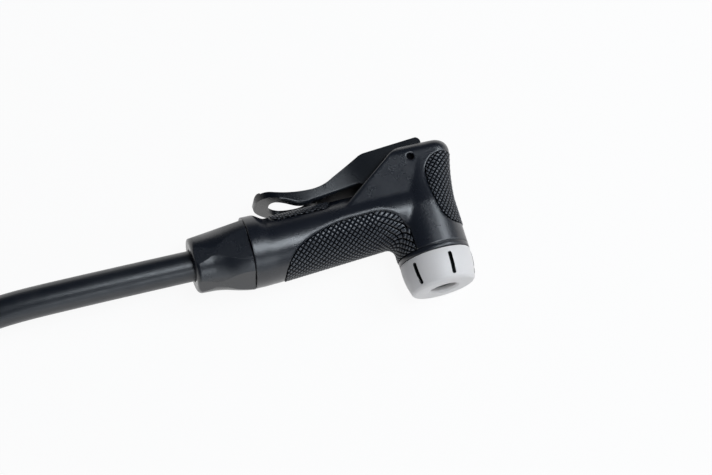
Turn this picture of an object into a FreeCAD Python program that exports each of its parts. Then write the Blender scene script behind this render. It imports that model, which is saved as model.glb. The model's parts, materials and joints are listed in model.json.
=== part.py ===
import FreeCAD, Part
import math
import os

from FreeCAD import Matrix, Placement, Rotation, Vector

# Lever valve head of a tire inflator with its hose. Millimetres.
# Shapes are drawn about the point where the neck axis (X) crosses the valve axis (Y).
# Y runs up through the crown, and Z runs out of the side that faces up when the head lies down.

# Barrel and crown
barrel_radius = 12.0
barrel_bottom = -15.7
barrel_straight_top = 1.0
crown_top = 22.5
crown_back = 14.6
crown_front = -3.0
crown_widest_height = 18.0
crown_half_width = 10.0
crown_corner_radius = 6.0
crown_edge_radius = 3.9
crown_hollow = 0.6
flare_inset = 0.08
lip_height = 1.4
lip_groove_width = 0.4
lip_groove_depth = 0.4

# Neck
neck_end = -59.8
flange_radius = 11.8
flange_end = -56.6
scoop_place = -52.4
scoop_top = 9.7
scoop_bottom = -11.6
scoop_half_width = 11.7
scoop_steps = 6
root_place = -4.0
root_top = barrel_radius - 0.8
root_bottom = 3.7 - barrel_radius
root_half_width = barrel_radius - 1.0
inner_corner_radius = 3.0

# Cheeks and lever slot
cheek_foot = -32.0
cheek_foot_height = 3.0
cheek_ramp_start = -29.3
cheek_ramp_height = 3.54
cheek_foot_radius = 12.0
cheek_crest = -3.9
cheek_crest_radius = 16.0
cheek_end = 5.0
cheek_edge_radius = 0.9
slot_half_width = 6.5
slot_floor = 8.0
slot_front = -12.0
slot_back = 10.2
saddle_height = 10.4

# Lever. Its outline is drawn about the pin, with the pad toward -X
pin_place = -0.5
pin_height = 17.4
pin_radius = 1.3
pin_recess = 1.5
pin_clearance = 0.1
lever_side_clearance = 0.35
lever_pad_half_width = 10.2
lever_pad_length = 54.5
lever_arm_width = 3.1
lever_nose_depth = 8.5
lever_plan_rounding = 8.0
lever_window_front = 49.3
lever_window_back = 33.0
lever_window_corner = 5.5
lever_hollow_front = 34.0
lever_hollow_back = 27.0
lever_hollow_height = -6.3
lever_pad_back = 30.0
lever_waist_place = 21.0
cam_lock_radius = 8.25
cam_stroke = 2.0
lever_swing = 90.0

# Plunger in its bore
bore_radius = 6.2
plunger_clearance = 0.15
cam_gap = 0.15
plunger_bottom = -15.9
piston_flange_height = 3.0
chamber_radius = 7.2
chamber_step_gap = 0.3
air_way_radius = 2.0
air_way_top = 2.0
seal_section = 0.9
seal_gap = 0.05
upper_seal_height = 4.6
lower_seal_height = -6.2
core_pin_radius = 1.0
core_pin_head_radius = 2.0
core_pin_head_height = 3.0
core_pin_tip = -18.6
core_pin_groove_radius = 0.7

# Gasket and valve cap
gasket_length = 8.0
gasket_clearance = 0.2
gasket_bore_radius = 4.1
gasket_relief_radius = 4.7
gasket_grip_length = 5.0
rest_gap = 0.05
washer_thickness = 0.7
washer_clearance = 0.3
cap_gap = 0.25
cap_height = 10.5
cap_top_radius = 11.9
cap_belly_radius = 11.95
cap_bottom_radius = 10.4
cap_edge_radius = 1.4
cap_thread_radius = 9.0
cap_port_radius = 4.5
cap_countersink_radius = 5.2
cap_slot_count = 6
cap_slot_width = 1.3
cap_slot_depth = 1.6
cap_slot_length = 7.3
cap_slot_start = 1.7
cap_first_slot = 8.2
spigot_wall = 1.5
spigot_length = 7.2

# Rubber grips
grip_thickness = 1.5
grip_stand = 0.3
grip_groove = 0.2

# Hose end inside the neck
air_passage_radius = 3.0
hose_spigot_length = 8.7
hose_spigot_clearance = 0.3
seal_pocket_radius = 5.0
seal_pocket_depth = 1.4
barb_flange_thickness = 1.8
barb_nose_radius = 2.9
barb_nose_length = 6.0
barb_bore_radius = 1.8
barb_tail_radius = 3.0
barb_tail_length = 17.0
barb_ridge = 0.35
barb_ridge_pitch = 4.0
barb_ridge_count = 3
face_gap = 0.2

# Hose collar
collar_gap = 0.3
collar_length = 18.2
collar_front_radius = 11.95
collar_back_radius = collar_front_radius - 2.65
collar_back_edge = 1.7
collar_flare_length = 12.5
collar_facet_count = 5
collar_facet_depth = 1.05
collar_facet_length = 11.0
collar_facet_rise = 1.35
collar_first_facet = 89.0
collar_thread_radius = collar_front_radius - 2.95
hose_spigot_radius = collar_thread_radius
barb_flange_radius = hose_spigot_radius - 0.8
collar_hose_clearance = 0.4
collar_floor = 3.0
clamp_ring_wall = 2.4
clamp_ring_slit = 1.2

# Hose
hose_radius = 5.0
hose_bore_radius = 3.05
hose_bore_depth = 20.0
floor_drop = barrel_radius - hose_radius
# Free stretch from the neck to the coil
hose_route = [
    Vector(-107.0, 0.0, 0.0),
    Vector(-144.5, -0.2, -1.0),
    Vector(-163.1, -4.3, -floor_drop),
]
hose_route_end = Vector(-181.25, -12.8, -floor_drop)
hose_bend_share = 0.45
coil_radius = 55.3
coil_layer_gap = 0.6
coil_steps = 9
coil_step_angle = 88.5
coil_climb_start = 3.5
coil_climb_steps = 2
# Free tail that comes down beside the coil: (run, turn back to the coil in degrees, height over the ground)
tail_steps = [(16.0, 0.0, 15.6), (18.0, 14.5, 13.6), (18.0, 14.0, 11.4), (18.0, 13.0, 10.4)]

# Connector at the far end
ferrule_wall = 1.2
ferrule_clearance = 0.1
ferrule_length = 14.0
ferrule_overhang = 1.4
ferrule_crimps = 2
tail_stem_radius = 4.4
tail_stem_length = 8.6
tail_head_radius = 5.4
tail_head_length = 3.0
nut_flats = 17.0
nut_length = 14.0
nut_floor = 3.0
nut_thread_radius = 5.72
nut_relief_radius = 6.0
nut_clearance = 0.2
nut_washer_thickness = 1.5
snap_ring_section = 0.5

x_axis = Vector(1, 0, 0)
y_axis = Vector(0, 1, 0)
z_axis = Vector(0, 0, 1)
origin = Vector(0, 0, 0)


# Helpers

def along_x(profile):
    """Turn a closed outline of (x, radius) points about the X axis."""
    wire = Part.makePolygon([Vector(x, radius, 0) for x, radius in profile + profile[:1]])
    return Part.Face(wire).revolve(origin, x_axis, 360)


def along_y(profile):
    """Turn a closed outline of (radius, y) points about the Y axis."""
    wire = Part.makePolygon([Vector(radius, y, 0) for radius, y in profile + profile[:1]])
    return Part.Face(wire).revolve(origin, y_axis, 360)


def cylinder_x(radius, start, end):
    return Part.makeCylinder(radius, end - start, Vector(start, 0, 0), x_axis)


def cylinder_y(radius, bottom, top):
    return Part.makeCylinder(radius, top - bottom, Vector(0, bottom, 0), y_axis)


def prism_z(wire, half_width):
    """Extrude an outline in the XY plane to both sides of the middle plane."""
    face = Part.Face(wire)
    face.translate(Vector(0, 0, -half_width))
    return face.extrude(Vector(0, 0, 2 * half_width))


def block(low, high):
    size = high - low
    return Part.makeBox(size.x, size.y, size.z, low)


def chain(place, steps):
    """Edges in the XY plane from a place on. A pair draws a line, four numbers draw an arc through the first two."""
    edges = []
    for step in steps:
        end = Vector(step[-2], step[-1], 0)
        if len(step) == 4:
            edges.append(Part.Arc(place, Vector(step[0], step[1], 0), end).toShape())
        else:
            edges.append(Part.LineSegment(place, end).toShape())
        place = end
    return edges


def outline(points):
    """Closed outline in the XY plane."""
    return Part.Wire(chain(Vector(*points[0], 0), points[1:] + points[:1]))


def rounded_section(back, front, half_width, radius, height):
    """Rounded rectangle in the plane y = height."""
    bulge = radius * (1 - math.sqrt(0.5))
    corners = [(back, half_width), (front, half_width), (front, -half_width), (back, -half_width)]
    edges = []
    for number, (x, z) in enumerate(corners):
        toward_x = 1 if x == back else -1
        toward_z = 1 if z > 0 else -1
        on_side = Vector(x, height, z - toward_z * radius)
        on_end = Vector(x - toward_x * radius, height, z)
        middle = Vector(x - toward_x * bulge, height, z - toward_z * bulge)
        first, last = (on_side, on_end) if number % 2 == 0 else (on_end, on_side)
        if edges:
            edges.append(Part.LineSegment(edges[-1].Vertexes[-1].Point, first).toShape())
        edges.append(Part.Arc(first, middle, last).toShape())
    edges.append(Part.LineSegment(edges[-1].Vertexes[-1].Point, edges[0].Vertexes[0].Point).toShape())
    return Part.Wire(edges)


def neck_section(place, top, bottom, half_width, grow):
    """Ellipse across the neck at x = place."""
    circle = Part.Wire(Part.Circle(origin, x_axis, 1.0).toShape())
    stretch = Matrix()
    stretch.A22 = (top - bottom) / 2 + grow
    stretch.A33 = half_width + grow
    section = circle.transformGeometry(stretch)
    section.translate(Vector(place, (top + bottom) / 2, 0))
    return section


def edges_near(shape, test):
    """Edges whose middle passes the test."""
    found = []
    for edge in shape.Edges:
        middle = edge.valueAt((edge.FirstParameter + edge.LastParameter) / 2)
        if test(middle):
            found.append(edge)
    return found


# Housing

def crown(grow):
    """Flare from the round barrel into the wider crown, grown outwards by a skin."""
    reach = barrel_radius + grow - flare_inset
    nearly_round = reach - 0.1
    middle_height = (barrel_straight_top + crown_widest_height) / 2
    sections = [
        rounded_section(reach, -reach, reach, nearly_round, barrel_straight_top),
        rounded_section(
            (reach + crown_back + grow) / 2 - crown_hollow,
            (crown_front - reach) / 2,
            (crown_half_width + barrel_radius) / 2 + grow - 0.4,
            (crown_corner_radius + nearly_round) / 2 - 0.5,
            middle_height,
        ),
        rounded_section(
            crown_back + grow, crown_front, crown_half_width + grow,
            crown_corner_radius, crown_widest_height,
        ),
    ]
    flare = Part.makeLoft(sections, True, False)
    cap = Part.Face(sections[-1]).extrude(Vector(0, crown_top + grow - crown_widest_height, 0))
    top_edges = edges_near(cap, lambda point: point.y > crown_top + grow - 0.01)
    cap = cap.makeFillet(crown_edge_radius + grow, top_edges)
    return flare.fuse(cap)


def neck(grow):
    """Neck that runs from the hose flange through a finger scoop into the barrel."""
    flange = cylinder_x(flange_radius + grow, neck_end, flange_end)
    sections = []
    for step in range(scoop_steps + 1):
        share = step / scoop_steps
        blend = (1 - math.cos(math.pi * share)) / 2
        sections.append(neck_section(
            flange_end + (scoop_place - flange_end) * share,
            flange_radius + (scoop_top - flange_radius) * blend,
            -flange_radius + (scoop_bottom + flange_radius) * blend,
            flange_radius + (scoop_half_width - flange_radius) * blend,
            grow,
        ))
    scoop = Part.makeLoft(sections, True, False)
    root = neck_section(root_place, root_top, root_bottom, root_half_width, grow)
    taper = Part.makeLoft([sections[-1], root], True, True)
    return flange.fuse([scoop, taper])


def cheeks(grow):
    """Flat web above the neck, with the long ramp up to the crown."""
    profile = outline([
        (cheek_foot, 0.0),
        (cheek_foot, cheek_foot_height + grow),
        (cheek_ramp_start, cheek_ramp_height + grow),
        (cheek_crest, crown_top + grow),
        (cheek_end, crown_top + grow),
        (cheek_end, 0.0),
    ])
    half = crown_half_width + grow
    web = prism_z(profile, half)
    for place, radius in ((cheek_crest, cheek_crest_radius), (cheek_ramp_start, cheek_foot_radius)):
        corner = edges_near(web, lambda point: abs(point.z) < 0.01 and abs(point.x - place) < 0.1)
        web = web.makeFillet(radius, corner)
    rim = edges_near(
        web,
        lambda point: abs(point.z) > half - 0.01 and point.y > cheek_foot_height / 2 + grow
        and cheek_foot + 0.1 < point.x < cheek_end - 0.1)
    web = web.makeFillet(cheek_edge_radius, rim)
    roof = block(Vector(2 * neck_end, -barrel_radius, -half), Vector(cheek_end, crown_top + grow, half))
    roof_edges = edges_near(roof, lambda point: abs(point.z) > half - 0.01 and point.y > crown_top + grow - 0.01)
    return web.common(roof.makeFillet(crown_edge_radius + grow, roof_edges))


def barrel_with_corner(grow, tube):
    """Round barrel that meets the neck in a rounded inner corner, up to where the crown flares."""
    reach = barrel_radius + grow
    tall = cylinder_y(reach, barrel_bottom, root_top + inner_corner_radius)
    joined = tall.fuse(tube).removeSplitter()
    corner = edges_near(
        joined,
        lambda point: -reach < point.x < root_place + 1 and abs(point.y) < root_top + grow + 0.5)
    rounded = joined.makeFillet(inner_corner_radius - grow, corner)
    wide = 2 * barrel_radius
    return rounded.common(
        block(Vector(2 * neck_end, barrel_bottom - 1, -wide), Vector(wide, barrel_straight_top, wide)))


def outer_body(grow):
    """Outside of the housing, grown outwards by a skin."""
    tube = neck(grow)
    wide = 2 * barrel_radius
    upper = tube.common(
        block(Vector(2 * neck_end, barrel_straight_top, -wide), Vector(wide, crown_top, wide)))
    return barrel_with_corner(grow, tube).fuse(upper).fuse(crown(grow)).fuse(cheeks(grow))


def belly_grip_outline():
    """Side view of the grip under the neck and round the inner corner."""
    below = scoop_bottom - 2.4
    lip_top = barrel_bottom + lip_height + lip_groove_width
    return outline([
        (-50.2, below),
        (-50.1, -11.3),
        (-48.2, -8.2, -44.6, -4.8),
        (-36.0, -1.3, -26.5, 0.6),
        (-18.5, 0.9),
        (-12.6, -0.6, -9.6, -3.6),
        (-7.9, -7.0),
        (-7.8, lip_top),
        (-barrel_radius - 2.0, lip_top),
        (-barrel_radius - 2.0, below),
    ])


def back_grip_outline():
    """Side view of the leaf-shaped grip round the back of the barrel."""
    behind = crown_back + 2.4
    return outline([
        (behind, 17.1),
        (9.4, 16.9),
        (4.3, 14.0, 2.5, 8.8),
        (2.6, 2.4, 4.0, -4.0),
        (5.6, -6.3, 8.2, -7.6),
        (behind, -7.9),
    ])


def thumb_grip_outline():
    """Side view of the grip over the top of the neck, under the lever."""
    above = scoop_top + 4.3
    return outline([
        (-50.6, above),
        (-50.6, 7.6),
        (-50.1, 6.6, -48.9, 6.2),
        (-35.0, 6.2),
        (-32.0, 7.0, -30.6, 9.4),
        (-30.6, above),
    ])


def grip_cutter(wire, margin, half_width):
    """Prism over a grip's outline, widened by a margin."""
    return prism_z(wire.makeOffset2D(margin) if margin else wire, half_width)


def make_housing(outside, pocket_floor):
    """Outside with grip pockets, lever slot, plunger bore, gasket chamber and hose spigot."""
    wide = 2 * barrel_radius
    body = outside
    for wire in (belly_grip_outline(), back_grip_outline(), thumb_grip_outline()):
        pocket = grip_cutter(wire, grip_groove, wide).cut(pocket_floor)
        body = body.cut(pocket)
    groove_top = barrel_bottom + lip_height + lip_groove_width
    ring = cylinder_y(wide, groove_top - lip_groove_width, groove_top)
    ring = ring.cut(cylinder_y(barrel_radius - lip_groove_depth, groove_top - 2, groove_top + 1))
    body = body.cut(ring)
    slot = prism_z(outline([
        (cheek_foot, saddle_height),
        (slot_front - 1.6, saddle_height),
        (slot_front, slot_floor),
        (slot_back, slot_floor),
        (slot_back, crown_top + 3.0),
        (cheek_foot, crown_top + 3.0),
    ]), slot_half_width)
    chamber_top = plunger_bottom + piston_flange_height + cam_stroke + chamber_step_gap
    spigot_outer = chamber_radius + spigot_wall
    body = body.fuse(cylinder_y(spigot_outer, barrel_bottom - spigot_length, barrel_bottom + 1))
    spigot_start = neck_end - hose_spigot_length
    body = body.fuse(cylinder_x(hose_spigot_radius, spigot_start, neck_end + 1))
    cuts = [
        slot,
        cylinder_y(bore_radius, plunger_bottom, slot_floor + 1),
        cylinder_y(chamber_radius, barrel_bottom - spigot_length - 1, chamber_top),
        cylinder_x(air_passage_radius, spigot_start - 1, 0),
        cylinder_x(seal_pocket_radius, spigot_start - 1, spigot_start + seal_pocket_depth),
        Part.makeCylinder(
            pin_radius, 2 * wide, Vector(pin_place, pin_height, -wide), z_axis),
    ]
    return body.cut(cuts)


def make_grip(wire, proud, pocket_floor):
    """Rubber skin that fills a pocket and stands a little proud of it."""
    skin = prism_z(wire, 2 * barrel_radius).common(proud)
    return skin.cut(pocket_floor)


# Lever with its cam

def cam_slope():
    """Lift of the plunger per radian of the lever."""
    return cam_stroke / math.radians(lever_swing)


def cam_point(degrees):
    """Point of an involute cam, whose support distance falls steadily from the locked contact."""
    angle = math.radians(degrees)
    support = cam_lock_radius - cam_slope() * (angle + math.pi / 2)
    normal = Vector(math.cos(angle), math.sin(angle), 0)
    tangent = Vector(-normal.y, normal.x, 0)
    return normal * support - tangent * cam_slope()


def cam_edge():
    """Cam face from just before the locked contact to just past the released one."""
    first = -102
    last = lever_swing - 90 + 12
    steps = 19
    points = [cam_point(first + (last - first) * step / steps) for step in range(steps + 1)]
    curve = Part.BSplineCurve()
    curve.interpolate(points)
    return curve.toShape(), points[0], points[-1]


def lever_side_wire():
    """Side view of the lever about its pin, pad at the left and tail over the crown."""
    cam, cam_start, cam_end = cam_edge()
    steps = [
        (5.8, 4.8),
        (5.8, 6.9, 4.7, 7.6),
        (-13.6, 5.9),
        (-15.3, 5.55, -16.9, 4.8),
        (-27.0, -0.7),
        (-31.5, -2.85, -36.0, -3.65),
        (-42.0, -3.5, -48.0, -2.2),
        (-50.2, -1.4, -52.2, -0.95),
        (-lever_pad_length, -1.8, -53.2, -2.8),
        (-50.6, -3.4, -47.6, -4.3),
        (-42.5, -6.9),
        (-39.6, -7.85, -36.0, -7.6),
        (-18.0, -4.3),
        (cam_start.x, cam_start.y),
    ]
    return Part.Wire([cam] + chain(cam_end, steps))


def lever_plan_wire():
    """Plan view of the lever about its pin: round pad, then a waist that fits between the cheeks."""
    waist = slot_half_width - lever_side_clearance
    half = lever_pad_half_width
    nose_back = lever_nose_depth - lever_pad_length - 0.3
    nose = Part.Ellipse(
        Vector(nose_back, 0, half), Vector(nose_back - lever_nose_depth, 0, 0), Vector(nose_back, 0, 0))
    side = [
        Vector(nose_back, 0, half),
        Vector(-lever_pad_back, 0, half - 0.6),
        Vector(-lever_waist_place, 0, waist),
        Vector(half, 0, waist),
    ]
    mirror = [Vector(point.x, 0, -point.z) for point in side]
    edges = [
        Part.ArcOfEllipse(nose, 0, math.pi).toShape(),
        Part.LineSegment(side[-1], mirror[-1]).toShape(),
    ]
    for row in (side, mirror):
        for first, last in zip(row[:-1], row[1:]):
            edges.append(Part.LineSegment(first, last).toShape())
    return Part.Wire(Part.__sortEdges__(edges))


def make_lever():
    side = prism_z(lever_side_wire(), lever_pad_half_width + 1)
    plan = Part.Face(lever_plan_wire())
    plan.translate(Vector(0, -pin_height, 0))
    blank = plan.extrude(Vector(0, 2 * pin_height, 0))
    bends = edges_near(
        blank, lambda point: -lever_pad_back - 1 < point.x < -lever_waist_place + 1 and abs(point.y) < 1)
    lever = side.common(blank.makeFillet(lever_plan_rounding, bends))
    inner = lever_pad_half_width - lever_arm_width
    window = Part.Face(rounded_section(
        -lever_window_back, -lever_window_front, inner, lever_window_corner, -pin_height))
    hollow = block(
        Vector(-lever_hollow_front, -pin_height, -inner), Vector(-lever_hollow_back, lever_hollow_height, inner))
    hole = Part.makeCylinder(
        pin_radius + pin_clearance, 4 * crown_half_width, Vector(0, 0, -2 * crown_half_width), z_axis)
    lever = lever.cut([window.extrude(Vector(0, 2 * pin_height, 0)), hollow, hole])
    lever.translate(Vector(pin_place, pin_height, 0))
    return lever


def make_lever_pin():
    half = crown_half_width - pin_recess
    return Part.makeCylinder(pin_radius, 2 * half, Vector(pin_place, pin_height, -half), z_axis)


# Plunger, seals, gasket and cap

def plunger_top():
    return pin_height - cam_lock_radius - cam_gap


def make_plunger():
    """Piston with a wide foot, two seal grooves and an air way that turns down to the valve."""
    radius = bore_radius - plunger_clearance
    foot = chamber_radius - plunger_clearance
    groove = seal_section + plunger_clearance
    groove_floor = bore_radius - seal_gap - 2 * seal_section
    profile = [
        (0, plunger_bottom),
        (foot, plunger_bottom),
        (foot, plunger_bottom + piston_flange_height),
        (radius, plunger_bottom + piston_flange_height),
    ]
    for height in (lower_seal_height, upper_seal_height):
        profile += [
            (radius, height - groove),
            (groove_floor, height - groove),
            (groove_floor, height + groove),
            (radius, height + groove),
        ]
    profile += [(radius, plunger_top()), (0, plunger_top())]
    plunger = along_y(profile)
    head_room = core_pin_head_height
    cuts = [
        cylinder_y(air_way_radius, plunger_bottom + head_room, air_way_top),
        cylinder_y(core_pin_head_radius, plunger_bottom - 1, plunger_bottom + head_room),
        cylinder_x(air_way_radius, -barrel_radius, barrel_radius),
    ]
    waist = along_y([
        (radius - 0.8, -air_way_radius), (radius + 1, -air_way_radius),
        (radius + 1, air_way_radius), (radius - 0.8, air_way_radius),
    ])
    return plunger.cut(cuts + [waist])


def make_seal(height):
    """O-ring between the plunger's groove and the bore, its section squeezed square with round corners."""
    middle = bore_radius - seal_gap - seal_section
    corner = seal_section * math.tan(math.pi / 8)
    steps = [
        (corner, -seal_section), (seal_section, -corner), (seal_section, corner), (corner, seal_section),
        (-corner, seal_section), (-seal_section, corner), (-seal_section, -corner), (-corner, -seal_section),
    ]
    return along_y([(middle + out, height + up) for out, up in steps])


def make_core_pin():
    """Pin that opens the tire valve, with a grooved head that lets the air past."""
    head_top = plunger_bottom + core_pin_head_height
    pin = cylinder_y(core_pin_head_radius, plunger_bottom, head_top)
    for number in range(3):
        angle = math.radians(120 * number)
        groove = Part.makeCylinder(
            core_pin_groove_radius, core_pin_head_height + 2,
            Vector(core_pin_head_radius * math.cos(angle), plunger_bottom - 1,
                   core_pin_head_radius * math.sin(angle)), y_axis)
        pin = pin.cut(groove)
    stem = cylinder_y(core_pin_radius, core_pin_tip, plunger_bottom)
    tip_edges = edges_near(stem, lambda point: point.y < core_pin_tip + 0.01)
    stem = stem.makeFillet(0.5, tip_edges)
    return pin.fuse(stem).removeSplitter()


def gasket_bottom():
    return plunger_bottom - gasket_length


def make_gasket():
    """Rubber sleeve: a close bore that grips the tire valve, wider round the core pin."""
    outer = chamber_radius - gasket_clearance
    top = plunger_bottom - rest_gap
    step = gasket_bottom() + gasket_grip_length
    return along_y([
        (gasket_relief_radius, top),
        (outer, top),
        (outer, gasket_bottom()),
        (gasket_bore_radius, gasket_bottom()),
        (gasket_bore_radius, step),
        (gasket_relief_radius, step),
    ])


def make_gasket_washer():
    top = gasket_bottom() - rest_gap
    outer = cap_thread_radius - washer_clearance
    return along_y([
        (cap_port_radius, top),
        (outer, top),
        (outer, top - washer_thickness),
        (cap_port_radius, top - washer_thickness),
    ])


def make_valve_cap():
    """Slotted screw cap with a countersunk port."""
    top = barrel_bottom - cap_gap
    bottom = top - cap_height
    floor_top = gasket_bottom() - washer_thickness - 2 * rest_gap
    rim = Vector(cap_top_radius, top, 0)
    belly = Vector(cap_belly_radius, top - 0.35 * cap_height, 0)
    foot = Vector(cap_bottom_radius + 0.55, bottom + cap_edge_radius, 0)
    sole = Vector(cap_bottom_radius - cap_edge_radius + 0.3, bottom, 0)
    bend = Vector(cap_bottom_radius + 0.15, bottom + 0.35 * cap_edge_radius, 0)
    sink_depth = cap_countersink_radius - cap_port_radius
    inner = [
        Vector(cap_countersink_radius, bottom, 0),
        Vector(cap_port_radius, bottom + sink_depth, 0),
        Vector(cap_port_radius, floor_top, 0),
        Vector(cap_thread_radius, floor_top, 0),
        Vector(cap_thread_radius, top, 0),
        rim,
    ]
    edges = [
        Part.Arc(rim, belly, foot).toShape(),
        Part.Arc(foot, bend, sole).toShape(),
        Part.LineSegment(sole, inner[0]).toShape(),
    ]
    for first, last in zip(inner[:-1], inner[1:]):
        edges.append(Part.LineSegment(first, last).toShape())
    cap = Part.Face(Part.Wire(edges)).revolve(origin, y_axis, 360)
    slot_top = top - cap_slot_start
    slots = []
    for number in range(cap_slot_count):
        slot = block(
            Vector(-cap_slot_width / 2, slot_top - cap_slot_length, cap_belly_radius - cap_slot_depth),
            Vector(cap_slot_width / 2, slot_top, cap_belly_radius + 1))
        ends = edges_near(slot, lambda point: abs(point.x) > 0.45 * cap_slot_width and abs(
            point.y - slot_top + cap_slot_length / 2) > 0.49 * cap_slot_length)
        slot = slot.makeFillet(0.45 * cap_slot_width, ends)
        slot.rotate(origin, y_axis, cap_first_slot + number * 360 / cap_slot_count)
        slots.append(slot)
    return cap.cut(slots)


# Hose end and collar

def spigot_face():
    return neck_end - hose_spigot_length


def make_hose_barb():
    """Brass tail with a flange, a nose in the air passage and barbs inside the hose."""
    face = spigot_face() - face_gap
    back = face - barb_flange_thickness
    end = back - barb_tail_length
    profile = [
        (face + barb_nose_length, barb_bore_radius),
        (face + barb_nose_length, barb_nose_radius),
        (face, barb_nose_radius),
        (face, barb_flange_radius),
        (back, barb_flange_radius),
        (back, barb_tail_radius - barb_ridge),
    ]
    for number in range(barb_ridge_count):
        start = back - 3.0 - number * barb_ridge_pitch
        profile += [
            (start, barb_tail_radius - barb_ridge),
            (start, barb_tail_radius),
            (start - barb_ridge_pitch + 0.6, barb_tail_radius - barb_ridge),
        ]
    profile += [(end, barb_tail_radius - barb_ridge), (end, barb_bore_radius)]
    return along_x(profile)


def make_barb_seal():
    start = spigot_face() - face_gap
    return along_x([
        (start, barb_nose_radius + 0.1),
        (start, seal_pocket_radius - 0.15),
        (spigot_face() + seal_pocket_depth, seal_pocket_radius - 0.15),
        (spigot_face() + seal_pocket_depth, barb_nose_radius + 0.1),
    ])


def collar_front():
    return neck_end - collar_gap


def collar_back():
    return collar_front() - collar_length


def clamp_space():
    """Stations of the clamp ring: its front and its back face, from right to left."""
    front = spigot_face() - face_gap - barb_flange_thickness - face_gap
    return front, collar_back() + collar_floor


def ring_outer_radius():
    return hose_radius + collar_hose_clearance / 2 + clamp_ring_wall


def make_clamp_ring():
    """Split ring round the hose, carried along by the collar."""
    front, back = clamp_space()
    inner = ring_outer_radius() - clamp_ring_wall
    ring = along_x([
        (front, inner),
        (front, inner + clamp_ring_wall),
        (back, inner + clamp_ring_wall),
        (back, inner),
    ])
    slit = block(Vector(back - 1, 0, -clamp_ring_slit / 2), Vector(front + 1, 20, clamp_ring_slit / 2))
    return ring.cut(slit)


def collar_facet(number):
    """Wedge that leaves a flat facet, deepest at the collar's front edge."""
    flat = collar_front_radius - collar_facet_depth
    wide = 2 * collar_front_radius
    wedge = Part.Face(outline([
        (1.0, flat + collar_facet_rise / collar_facet_length),
        (-2 * collar_facet_length, flat - 2 * collar_facet_rise),
        (-2 * collar_facet_length, wide),
        (1.0, wide),
    ]))
    wedge.translate(Vector(collar_front(), 0, -wide))
    wedge = wedge.extrude(Vector(0, 0, 2 * wide))
    wedge.rotate(origin, x_axis, collar_first_facet + number * 360 / collar_facet_count)
    return wedge


def make_hose_collar():
    """Union nut: a plain grip at the hose, a flare to the neck and facets for the fingers."""
    front = collar_front()
    back = collar_back()
    bore = collar_thread_radius + hose_spigot_clearance
    hose_hole = hose_radius + collar_hose_clearance
    ring_front, ring_back = clamp_space()
    ring_back -= rest_gap
    rise = collar_front_radius - collar_back_radius
    flare_end = front - collar_flare_length
    flare_middle = front - 0.52 * collar_flare_length
    edge = collar_back_edge
    outside = outline([
        (front, 0),
        (front, collar_front_radius),
        (front - 0.24 * collar_flare_length, collar_front_radius - 0.17 * rise,
         flare_middle, collar_front_radius - 0.48 * rise),
        (front - 0.74 * collar_flare_length, collar_back_radius + 0.25 * rise,
         flare_end, collar_back_radius + 0.06 * rise),
        (back + edge, collar_back_radius),
        (back + 0.29 * edge, collar_back_radius - 0.29 * edge, back, collar_back_radius - edge),
        (back, 0),
    ])
    body = Part.Face(outside).revolve(origin, x_axis, 360)
    inside = along_x([
        (front + 1, 0),
        (front + 1, bore),
        (ring_front, bore),
        (ring_front, ring_outer_radius() + face_gap),
        (ring_back, ring_outer_radius() + face_gap),
        (ring_back, hose_hole),
        (back - 1, hose_hole),
        (back - 1, 0),
    ])
    body = body.cut(inside)
    return body.cut([collar_facet(number) for number in range(collar_facet_count)])


# Hose

def rounded_path(points):
    """Straight runs joined by tangent arcs. Prints each arc's radius."""
    edges = []
    place = points[0]
    for before, corner, after in zip(points[:-2], points[1:-1], points[2:]):
        inward = (before - corner).normalize()
        outward = (after - corner).normalize()
        turn = math.pi - inward.getAngle(outward)
        shorter = min((corner - before).Length, (after - corner).Length)
        setback = hose_bend_share * shorter
        radius = setback / math.tan(turn / 2)
        start = corner + inward * setback
        end = corner + outward * setback
        depth = radius * (1 / math.cos(turn / 2) - 1)
        middle = corner + (inward + outward).normalize() * depth
        edges.append(Part.LineSegment(place, start).toShape())
        edges.append(Part.Arc(start, middle, end).toShape())
        place = end
        print("hose bend radius", round(radius, 1))
    edges.append(Part.LineSegment(place, points[-1]).toShape())
    return edges


def tube(edges, radius):
    """Round solid swept along a path of lines and arcs."""
    first = edges[0]
    start = first.Vertexes[0].Point
    heading = first.tangentAt(first.FirstParameter)
    ring = Part.Wire(Part.Circle(start, heading, radius).toShape())
    return Part.Wire(edges).makePipeShell([ring], True, False)


def hose_start():
    return Vector(spigot_face() - 2 * face_gap - barb_flange_thickness, 0, 0)


def hose_points():
    return [hose_start()] + hose_route + [hose_route_end]


def blind_bore(point, heading):
    """Bore at a hose end that takes a barbed tail."""
    return Part.makeCylinder(hose_bore_radius, hose_bore_depth, point, heading)


def make_hose_run():
    edges = rounded_path(hose_points())
    hose = tube(edges, hose_radius)
    length = sum(edge.Length for edge in edges)
    share = hose.Volume / (math.pi * hose_radius ** 2 * length)
    print("hose run length", round(length, 1), "volume share", round(share, 5))
    return hose.cut(blind_bore(hose_start(), Vector(-1, 0, 0)))


def coil_point(step):
    """Place and heading on the coil, counted in equal steps from its start."""
    pitch = 2 * hose_radius + coil_layer_gap
    half_way = coil_steps / 2
    inward = step if step <= half_way else coil_steps - step
    rate = pitch / 4
    radius = coil_radius - rate * inward
    climb = min(max((step - coil_climb_start) / coil_climb_steps, 0.0), 1.0)
    smooth = climb * climb * (3 - 2 * climb)
    slope = 6 * climb * (1 - climb) / coil_climb_steps
    step_angle = math.radians(coil_step_angle)
    angle = step_angle * step
    out = Vector(math.cos(angle), -math.sin(angle), 0)
    ahead = Vector(-math.sin(angle), -math.cos(angle), 0)
    place = out * radius + Vector(0, 0, pitch * smooth)
    radial = 0.0 if step == half_way else (-rate if step < half_way else rate)
    heading = ahead * (radius * step_angle) + out * radial + Vector(0, 0, pitch * slope)
    return place, heading.normalize()


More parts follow.
